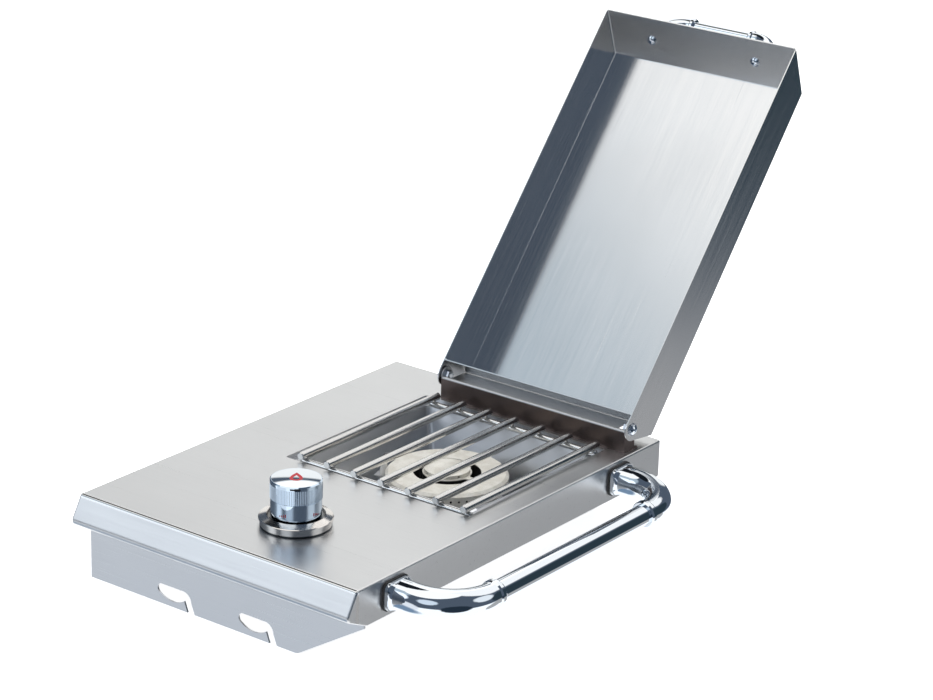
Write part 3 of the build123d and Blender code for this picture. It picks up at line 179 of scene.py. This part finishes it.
def brushed_sheet(name, tint, along, turn=(0, 0, 0), rough=0.27, streak=0.05, cloud=0.05, relief=0.5,
                  tone=None, polish=None):
    """Stainless sheet with brush lines that run along one axis, faint clouds and a few long scratches."""
    material, nodes, shader = new_material(name)
    fine, broad, long_scratch = 2600.0, 260.0, 700.0
    slow = {"x": (5.0, 1.0, 1.0), "y": (1.0, 5.0, 1.0)}[along]
    fine_scale = tuple(slow[i] if slow[i] != 1.0 else fine for i in range(3))
    broad_scale = tuple(slow[i] if slow[i] != 1.0 else broad for i in range(3))
    lines = nodes.noise(nodes.place(fine_scale, turn), detail=3.0, roughness=0.7)
    bands = nodes.noise(nodes.place(broad_scale, turn), detail=4.0, roughness=0.6)
    clouds = nodes.noise(nodes.place((7.0, 7.0, 7.0), turn), detail=3.0)
    scratch_scale = tuple(9.0 if slow[i] != 1.0 else long_scratch for i in range(3))
    scratches = nodes.ramp(nodes.noise(nodes.place(scratch_scale, turn), detail=1.0), 0.70, 0.76)
    grain = nodes.math("ADD", nodes.math("MULTIPLY", lines, 0.5), nodes.math("MULTIPLY", bands, 0.5))
    shade = nodes.ramp(clouds, 0.3, 0.7, 1.0 - cloud, 1.0, smooth=False)
    shade = nodes.math("MULTIPLY", shade, nodes.ramp(grain, 0.3, 0.7, 1.0 - streak, 1.0, smooth=False))
    dark = tuple(0.80 * part for part in tint[:3]) + (1.0,)
    steel = nodes.mix(nodes.ramp(shade, 0.8, 1.0, smooth=False), dark, tint)
    nodes.put(shader.inputs["Base Color"], tone(nodes, steel) if tone else steel)
    shader.inputs["Metallic"].default_value = 1.0
    rough_now = nodes.ramp(grain, 0.3, 0.7, rough - 0.05, rough + 0.06, smooth=False)
    rough_now = nodes.math("ADD", rough_now, nodes.math("MULTIPLY", scratches, 0.08))
    nodes.put(shader.inputs["Roughness"], polish(nodes, rough_now) if polish else rough_now)
    nodes.put(shader.inputs["Normal"], nodes.bump(grain, 0.00002, relief))
    return material


def rolled_bend(nodes, rough):
    """Smoother metal where the press bent the sheet from the deck's top into its nose."""
    split = nodes.add("ShaderNodeSeparateXYZ")
    nodes.put(split.inputs[0], nodes.place())
    past_top = nodes.ramp(split.outputs[1], FRONT_BEND + 0.6 * MM, FRONT_BEND - 0.6 * MM)
    before_nose = nodes.ramp(split.outputs[1], FRONT_BEND - BEND_WIDTH - 0.8 * MM, FRONT_BEND - BEND_WIDTH)
    smooth = nodes.math("MULTIPLY", past_top, before_nose)
    return nodes.math("MULTIPLY", rough, nodes.ramp(smooth, 0.0, 1.0, 1.0, 0.3))


def riser_painted_reflection(nodes, steel):
    """Painted dark brown reflection on the riser, on everything below its top fold."""
    split = nodes.add("ShaderNodeSeparateXYZ")
    nodes.put(split.inputs[0], nodes.place())
    below = nodes.ramp(split.outputs[2], RISER_TOP - 1.2 * MM, RISER_TOP - 3.0 * MM)
    return nodes.mix(below, steel, colour(0.16, 0.125, 0.115))


def dark_openings_shaded_ports(nodes, cream):
    """Near black on the walls of the burner's air openings below its top, and painted shade in its flame ports."""
    split = nodes.add("ShaderNodeSeparateXYZ")
    nodes.put(split.inputs[0], nodes.place())
    across = nodes.math("SUBTRACT", split.outputs[0], BURNER_X)
    along = nodes.math("SUBTRACT", split.outputs[1], BURNER_Y)
    away = nodes.math("SQRT", nodes.math("ADD", nodes.math("MULTIPLY", across, across),
                                         nodes.math("MULTIPLY", along, along)))
    deep = nodes.ramp(split.outputs[2], BURNER_TOP - 0.4 * MM, BURNER_TOP - 1.5 * MM)
    inside = nodes.ramp(away, BURNER_RADIUS - 3.4 * MM, BURNER_RADIUS - 4.0 * MM)
    level = nodes.math("ABSOLUTE", nodes.math("SUBTRACT", split.outputs[2], PORT_LEVEL))
    # painted shade inside the flame ports
    in_port = nodes.math("MULTIPLY", nodes.math("LESS_THAN", level, 1.4 * MM),
                         nodes.math("LESS_THAN", away, BURNER_RADIUS - 0.15 * MM))
    opening_and_port_dark = nodes.math("MAXIMUM", nodes.math("MULTIPLY", deep, inside), in_port)
    return nodes.mix(opening_and_port_dark, cream, colour(0.012, 0.011, 0.010))


def plain_metal(name, tint, rough=0.2, spots=0.04, scale=400.0, bump=0.00002):
    """Cast, plated or drawn metal with a slightly uneven surface."""
    material, nodes, shader = new_material(name)
    uneven = nodes.noise(nodes.place((scale, scale, scale)), detail=4.0, roughness=0.6)
    broad = nodes.noise(nodes.place((25.0, 25.0, 25.0)), detail=2.0)
    dark = tuple(0.85 * part for part in tint[:3]) + (1.0,)
    nodes.put(shader.inputs["Base Color"], nodes.mix(nodes.ramp(broad, 0.35, 0.65), dark, tint))
    shader.inputs["Metallic"].default_value = 1.0
    nodes.put(shader.inputs["Roughness"], nodes.ramp(uneven, 0.3, 0.7, rough - spots, rough + spots, smooth=False))
    nodes.put(shader.inputs["Normal"], nodes.bump(uneven, bump, 0.6))
    return material


def chrome_metal(name, tint, rough=0.03):
    """Polished chrome with the faintest waviness and polishing haze."""
    material, nodes, shader = new_material(name)
    haze = nodes.noise(nodes.place((60.0, 60.0, 60.0)), detail=3.0)
    shader.inputs["Base Color"].default_value = tint
    shader.inputs["Metallic"].default_value = 1.0
    nodes.put(shader.inputs["Roughness"], nodes.ramp(haze, 0.3, 0.7, rough, rough + 0.03, smooth=False))
    wave = nodes.noise(nodes.place((18.0, 18.0, 18.0)), detail=1.0)
    nodes.put(shader.inputs["Normal"], nodes.bump(wave, 0.0003, 0.15))
    return material


def turned_metal(name, tint, centre, foot, rough=0.22):
    """Lathe-turned metal: fine rings round a vertical axis, and a painted contact shadow, a dark line along its
    foot.
    """
    material, nodes, shader = new_material(name)
    spot = nodes.add("ShaderNodeTexCoord")
    moved = nodes.add("ShaderNodeMapping")
    nodes.put(moved.inputs["Vector"], spot.outputs["Object"])
    moved.inputs["Location"].default_value = (-centre[0], -centre[1], 0.0)
    split = nodes.add("ShaderNodeSeparateXYZ")
    nodes.put(split.inputs[0], moved.outputs[0])
    square = nodes.math("ADD", nodes.math("MULTIPLY", split.outputs[0], split.outputs[0]),
                        nodes.math("MULTIPLY", split.outputs[1], split.outputs[1]))
    away = nodes.math("ADD", nodes.math("SQRT", square), split.outputs[2])
    rings = nodes.add("ShaderNodeTexNoise", noise_dimensions="1D")
    rings.inputs["Scale"].default_value = 2500.0
    rings.inputs["Detail"].default_value = 3.0
    nodes.put(rings.inputs["W"], away)
    level = rings.outputs["Fac"]
    dark = tuple(0.8 * part for part in tint[:3]) + (1.0,)
    # painted contact shadow: near black along the foot, turned metal above it
    above_painted_shadow = nodes.ramp(split.outputs[2], foot + 1.0 * MM, foot + 2.4 * MM)
    turned = nodes.mix(nodes.ramp(level, 0.3, 0.7), dark, tint)
    nodes.put(shader.inputs["Base Color"], nodes.mix(above_painted_shadow, colour(0.03, 0.035, 0.04), turned))
    shader.inputs["Metallic"].default_value = 1.0
    nodes.put(shader.inputs["Roughness"], nodes.ramp(level, 0.3, 0.7, rough - 0.06, rough + 0.06, smooth=False))
    nodes.put(shader.inputs["Normal"], nodes.bump(level, 0.00003, 0.5))
    return material


def coated_casting(name):
    """Cream heat-proof coating on a sand casting, with darker pores, near-black walls in its air openings and
    painted shade in its flame ports.
    """
    material, nodes, shader = new_material(name)
    sand = nodes.noise(nodes.place((900.0, 900.0, 900.0)), detail=5.0, roughness=0.7)
    stain = nodes.noise(nodes.place((70.0, 70.0, 70.0)), detail=4.0)
    cream = nodes.mix(nodes.ramp(stain, 0.35, 0.7), colour(0.68, 0.65, 0.58), colour(0.80, 0.78, 0.72))
    skin = nodes.mix(nodes.ramp(sand, 0.25, 0.45), colour(0.42, 0.38, 0.31), cream)
    # near black in the air openings, painted shade in the flame ports
    nodes.put(shader.inputs["Base Color"], dark_openings_shaded_ports(nodes, skin))
    shader.inputs["Metallic"].default_value = 0.15
    shader.inputs["Roughness"].default_value = 0.5
    nodes.put(shader.inputs["Normal"], nodes.bump(sand, 0.0002, 0.5))
    return material


def moulded(name, tint, rough=0.5, grain=0.00005):
    """Moulded rubber, plastic or glaze with a fine uneven skin."""
    material, nodes, shader = new_material(name)
    skin = nodes.noise(nodes.place((1500.0, 1500.0, 1500.0)), detail=3.0)
    light = tuple(min(1.0, 1.3 * part + 0.01) for part in tint[:3]) + (1.0,)
    nodes.put(shader.inputs["Base Color"], nodes.mix(nodes.ramp(skin, 0.4, 0.8), tint, light))
    nodes.put(shader.inputs["Roughness"], nodes.ramp(skin, 0.3, 0.7, rough - 0.06, rough + 0.06, smooth=False))
    nodes.put(shader.inputs["Normal"], nodes.bump(skin, grain, 0.5))
    return material


knob_low, knob_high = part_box("knob")
KNOB_X = (knob_low[0] + knob_high[0]) / 2
KNOB_Y = (knob_low[1] + knob_high[1]) / 2
KNOB_BACK = 80.5 * MM           # knob axis behind the front bend
FRONT_BEND = KNOB_Y - KNOB_BACK
BEND_WIDTH = 3.9 * MM           # rounded stretch between the flat top and the nose
burner_low, burner_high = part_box("burner_body")
BURNER_X = (burner_low[0] + burner_high[0]) / 2
BURNER_Y = (burner_low[1] + burner_high[1]) / 2
BURNER_TOP = burner_high[2]
BURNER_RADIUS = (burner_high[0] - burner_low[0]) / 2
PORT_DROP = 8.0 * MM            # ring of flame ports below the burner's top
EAR_RISE = 9.0 * MM             # round ears above the riser's top fold
PORT_LEVEL = BURNER_TOP - PORT_DROP
RISER_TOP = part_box("hinge_riser")[1][2] - EAR_RISE

deck_steel = brushed_sheet("deck_steel", colour(0.80, 0.80, 0.795), "x", rough=0.31, polish=rolled_bend)
lid_steel = brushed_sheet("lid_steel", colour(0.83, 0.835, 0.84), "y", turn=(OPEN_ANGLE, 0, 0), rough=0.17,
                          streak=0.02, cloud=0.06, relief=0.08)
hook_steel = brushed_sheet("hook_steel", colour(0.80, 0.805, 0.81), "x", rough=0.30)
pan_steel = brushed_sheet("pan_steel", colour(0.72, 0.73, 0.75), "x", rough=0.33, streak=0.02, relief=0.1)
# the riser's brown below its top fold is a painted reflection
riser_steel = brushed_sheet("riser_steel", colour(0.78, 0.78, 0.78), "x", rough=0.38, tone=riser_painted_reflection)
rod_steel = brushed_sheet("rod_steel", colour(0.72, 0.71, 0.69), "y", rough=0.17, streak=0.02, relief=0.1)
# the bars' lighter tint than the rods' steel is a painted highlight
bar_steel = brushed_sheet("bar_steel", colour(0.88, 0.88, 0.87), "x", rough=0.20)
chrome = chrome_metal("chrome", colour(0.82, 0.86, 0.90))
knob_chrome = chrome_metal("knob_chrome", colour(0.66, 0.77, 0.88))
zinc = plain_metal("zinc", colour(0.66, 0.69, 0.74), rough=0.24)
galvanised = plain_metal("galvanised", colour(0.60, 0.61, 0.62), rough=0.36, scale=120.0)
brass = plain_metal("brass", colour(0.78, 0.60, 0.30), rough=0.22)
alloy = plain_metal("valve_alloy", colour(0.66, 0.66, 0.67), rough=0.42, bump=0.00008)
electrode = plain_metal("electrode", colour(0.45, 0.44, 0.44), rough=0.3)
bezel_steel = turned_metal("bezel_steel", colour(0.84, 0.80, 0.76), (KNOB_X, KNOB_Y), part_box("bezel")[0][2], rough=0.13)
cast = coated_casting("burner_coating")
gasket_rubber = moulded("gasket_rubber", colour(0.02, 0.02, 0.02), rough=0.6)
inlay_black = moulded("inlay_black", colour(0.01, 0.01, 0.012), rough=0.4)
glaze = moulded("glaze", colour(0.85, 0.83, 0.78), rough=0.18)
red_print = moulded("red_print", colour(0.36, 0.012, 0.02), rough=0.5)

SLOT_MATERIALS = {
    "stainless_sheet": deck_steel,
    "hook_steel": hook_steel,
    "chrome": chrome,
    "knob_face": chrome,
    "black_inlay": inlay_black,
    "steel_rod": rod_steel,
    "burner_casting": cast,
    "gasket": gasket_rubber,
    "zinc": zinc,
    "galvanised": galvanised,
    "brass": brass,
    "valve_alloy": alloy,
    "ceramic": glaze,
    "electrode": electrode,
}
NODE_MATERIALS = {
    "lid_shell": lid_steel,
    "burner_pan": pan_steel,
    "pan_frame": pan_steel,
    "hinge_riser": riser_steel,
    "grate_front_bar": bar_steel,
    "grate_rear_bar": bar_steel,
    "bezel": bezel_steel,
    "knob": knob_chrome,
    "handle_screws": chrome,
    "hinge_bolts": chrome,
}


def dress(piece, material):
    piece.data.materials.clear()
    piece.data.materials.append(material)


def dress_nodes():
    for row in frame["record"]["subparts"]:
        node = row["node"]
        dress(NODES[node], NODE_MATERIALS.get(node, SLOT_MATERIALS[row["material_slot"]]))


# ---- soft edges on folded sheet and castings ------------------------------------------------------

EDGE_WIDTHS = {
    "deck_panel": 0.35, "lid_shell": 0.35, "front_hook_plate": 0.3, "rear_hook_plate": 0.3, "hinge_riser": 0.3,
    "burner_pan": 0.3, "burner_body": 0.5, "bezel": 0.35, "knob": 0.12,
}


def soften_edges():
    for node, width in EDGE_WIDTHS.items():
        bevel = NODES[node].modifiers.new("edge", "BEVEL")
        bevel.width = width * MM
        bevel.segments = 2
        bevel.limit_method = "ANGLE"
        bevel.angle_limit = math.radians(50)
        bevel.use_clamp_overlap = True
        bevel.harden_normals = False


# ---- printed details ---------------------------------------------------------------------------------

CAP_DEPTH = 1.2 * MM            # rim of the knob's cap below its dome
SKIRT_STEP = 0.5 * MM           # how far the knob's grip band stands out from its skirt
PRINT = 0.06 * MM               # thickness of printed marks
MARK_WIDTH, MARK_HEIGHT = 14.0 * MM, 21.0 * MM
MARK_WAY = math.radians(128.0)  # away from the pointer
MARK_STEPS = 48
TICK_COUNT = 4
TICK_WIDTH, TICK_GAP = 0.9 * MM, 2.2 * MM
TICK_RISE = 11.5 * MM           # lower end of the ticks above the skirt's lower edge
TICK_SETS = ((-81.0, 1), (0.0, -1))     # middle angle from +X, and the way the ticks grow


def piece_from(shape, name, material, body):
    """Finished mesh piece that rides on a body."""
    bmesh.ops.recalc_face_normals(shape, faces=shape.faces)
    mesh = bpy.data.meshes.new(name)
    shape.to_mesh(mesh)
    shape.free()
    piece = bpy.data.objects.new(name, mesh)
    bpy.context.scene.collection.objects.link(piece)
    dress(piece, material)
    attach(piece, body)
    return piece


def teardrop(turn, size):
    """Point of a flame outline with its tip at turn 0; size 1 is the whole mark."""
    across = 0.5 * MARK_WIDTH * size * math.sin(turn) * abs(math.sin(turn / 2)) ** 1.4 * 1.3
    along = 0.5 * MARK_HEIGHT * size * math.cos(turn) - 0.22 * MARK_HEIGHT * (1 - size)
    return across, along


def make_flame_mark():
    """Red flame outline printed on the knob's domed cap."""
    cap_low, cap_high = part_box("knob_cap")
    radius = (cap_high[0] - cap_low[0]) / 2
    dome = cap_high[2] - cap_low[2] - CAP_DEPTH
    ball = (radius ** 2 + dome ** 2) / (2 * dome)
    shape = bmesh.new()

    def corner(turn, size, lift):
        across, along = teardrop(turn, size)
        x = along * math.cos(MARK_WAY) + across * math.sin(MARK_WAY)
        y = along * math.sin(MARK_WAY) - across * math.cos(MARK_WAY)
        height = cap_high[2] - ball + math.sqrt(ball ** 2 - x * x - y * y) + lift
        return shape.verts.new((KNOB_X + x, KNOB_Y + y, height))

    rings = []
    for step in range(MARK_STEPS):
        turn = 2 * math.pi * step / MARK_STEPS
        rings.append([corner(turn, size, lift) for size, lift in
                      ((1.0, PRINT), (0.5, PRINT), (0.5, -PRINT), (1.0, -PRINT))])
    for step, ring in enumerate(rings):
        after = rings[(step + 1) % MARK_STEPS]
        for side in range(4):
            other = (side + 1) % 4
            shape.faces.new((ring[side], ring[other], after[other], after[side]))
    piece_from(shape, "flame_mark", red_print, "knob")


def make_ticks():
    """Two sets of red setting marks on the knob's skirt that grow from low to high."""
    skirt = (knob_high[0] - knob_low[0]) / 2 - SKIRT_STEP
    shape = bmesh.new()
    for middle, way in TICK_SETS:
        for number in range(TICK_COUNT):
            angle = math.radians(middle) + way * (number - (TICK_COUNT - 1) / 2) * TICK_GAP / skirt
            tall = (1.0 + 0.8 * number) * MM
            turn = Matrix.Rotation(angle, 4, "Z")
            spot = Matrix.Translation((KNOB_X, KNOB_Y, knob_low[2] + TICK_RISE + tall / 2))
            size = Matrix.Diagonal((8 * PRINT, TICK_WIDTH, tall, 1.0))
            bmesh.ops.create_cube(shape, size=1.0, matrix=spot @ turn @ Matrix.Translation((skirt, 0, 0)) @ size)
    piece_from(shape, "setting_ticks", red_print, "knob")


# ---- stage, light and world ------------------------------------------------------------------------


def make_floor():
    """White floor at the hook plates' bottom edge. Metal mirrors the studio's own pale table instead."""
    mesh = bpy.data.meshes.new("floor")
    shape = bmesh.new()
    bmesh.ops.create_grid(shape, x_segments=1, y_segments=1, size=30.0)
    shape.to_mesh(mesh)
    shape.free()
    floor = bpy.data.objects.new("floor", mesh)
    floor.location = (0.2, 0.0, cad_box[0][2] - 0.0005)
    floor.visible_glossy = False
    bpy.context.scene.collection.objects.link(floor)
    material, nodes, shader = new_material("floor_white")
    speck = nodes.noise(nodes.place((30.0, 30.0, 30.0)), detail=2.0)
    nodes.put(shader.inputs["Base Color"],
              nodes.mix(speck, colour(0.90, 0.90, 0.90), colour(0.92, 0.92, 0.92)))
    shader.inputs["Roughness"].default_value = 0.9
    shader.inputs["Specular IOR Level"].default_value = 0.1
    shader.inputs["Emission Color"].default_value = colour(1.0, 1.0, 1.0)
    shader.inputs["Emission Strength"].default_value = 0.75
    dress(floor, material)


# Soft boxes, walls and dark flags round the studio: azimuth from straight behind (positive to the right),
# elevation, half width and soft edge in degrees, then the tint and its strength. Later rows lie over earlier.
STUDIO = (
    (0, -90, 67, 4, (0.93, 0.96, 1.00), 1.30),      # pale table
    (-152, -24, 17, 8, (0.90, 0.94, 1.00), 0.98),   # cool end of the table by the camera
    (-133, -47, 12, 14, (0.48, 0.70, 1.00), 0.42),  # blue shade on the table's left
    (36, -35, 14, 3, (0.97, 0.98, 1.00), 0.45),     # grey far right end of the table
    (36, 2, 18, 5, (0.45, 0.75, 1.00), 0.06),       # dark flag behind on the right
    (121, -20, 22, 6, (0.40, 0.65, 1.00), 0.05),    # dark wall beside the camera
    (-37, 5, 18, 3, (0.99, 1.00, 0.99), 1.04),      # screen behind on the left
    (-37, 53, 23, 3, (1.00, 1.00, 1.00), 1.30),     # soft box above that screen
    (-130, 38, 11, 8, (0.72, 0.87, 1.00), 0.62),    # pale blue wall in front on the left
    (-140, 20, 11, 6, (0.84, 0.91, 1.00), 1.45),    # cool window under it
    (15, 52, 22, 6, (1.00, 1.00, 1.00), 1.10),      # soft box above the dark flag
    (-130, 76, 29.7, 1.2, (1.00, 0.995, 0.985), 1.20),  # ceiling box over the lid
    (-68, 51, 13, 3, (0.30, 0.40, 0.55), 0.03),     # dark beam between the soft boxes
    (68, 24, 15, 6, (0.90, 0.95, 1.00), 1.00),      # pale wall on the right
    (170, 24, 13, 6, (0.78, 0.88, 1.00), 0.95),     # pale blue wall beside the camera
)
SLATE = colour(0.085, 0.11, 0.15)


def toward(azimuth, elevation):
    side, rise = math.radians(azimuth), math.radians(elevation)
    return Vector((math.sin(side) * math.cos(rise), math.cos(side) * math.cos(rise), math.sin(rise)))


def make_world():
    world = bpy.data.worlds.new("studio")
    world.use_nodes = True
    bpy.context.scene.world = world
    nodes = Nodes(world.node_tree)
    spot = nodes.add("ShaderNodeTexCoord")
    sky = SLATE
    for azimuth, elevation, half_width, edge, tint, strength in STUDIO:
        dot = nodes.add("ShaderNodeVectorMath", operation="DOT_PRODUCT")
        nodes.put(dot.inputs[0], spot.outputs["Generated"])
        dot.inputs[1].default_value = toward(azimuth, elevation)
        outside = math.cos(math.radians(half_width + edge))
        inside = math.cos(math.radians(half_width))
        share = nodes.ramp(dot.outputs["Value"], outside, inside)
        sky = nodes.mix(share, sky, colour(*(strength * part for part in tint)))
    light = nodes.add("ShaderNodeBackground")
    nodes.put(light.inputs["Color"], sky)
    light.inputs["Strength"].default_value = 1.0
    output = nodes.add("ShaderNodeOutputWorld")
    nodes.put(output.inputs["Surface"], light.outputs[0])


def make_lamp(name, place, target, size, power):
    """Soft lamp for the floor and the matte pieces; the metal mirrors the studio and not the lamp."""
    data = bpy.data.lights.new(name, "AREA")
    data.shape = "RECTANGLE"
    data.size, data.size_y = size
    data.energy = power
    lamp = bpy.data.objects.new(name, data)
    lamp.location = place
    lamp.rotation_euler = (Vector(target) - Vector(place)).to_track_quat("-Z", "Y").to_euler()
    lamp.visible_glossy = False
    bpy.context.scene.collection.objects.link(lamp)


def make_lights():
    middle = (0.2, 0.1, 0.0)
    make_lamp("key", (-1.6, -1.4, 2.6), middle, (2.0, 2.0), 55.0)
    make_lamp("top", (0.8, 0.8, 3.0), middle, (3.0, 3.0), 60.0)


# ---- everything ------------------------------------------------------------------------------------

make_camera()
dress_nodes()
soften_edges()
make_flame_mark()
make_ticks()
make_floor()
make_world()
make_lights()
bpy.context.scene.view_settings.view_transform = "Standard"
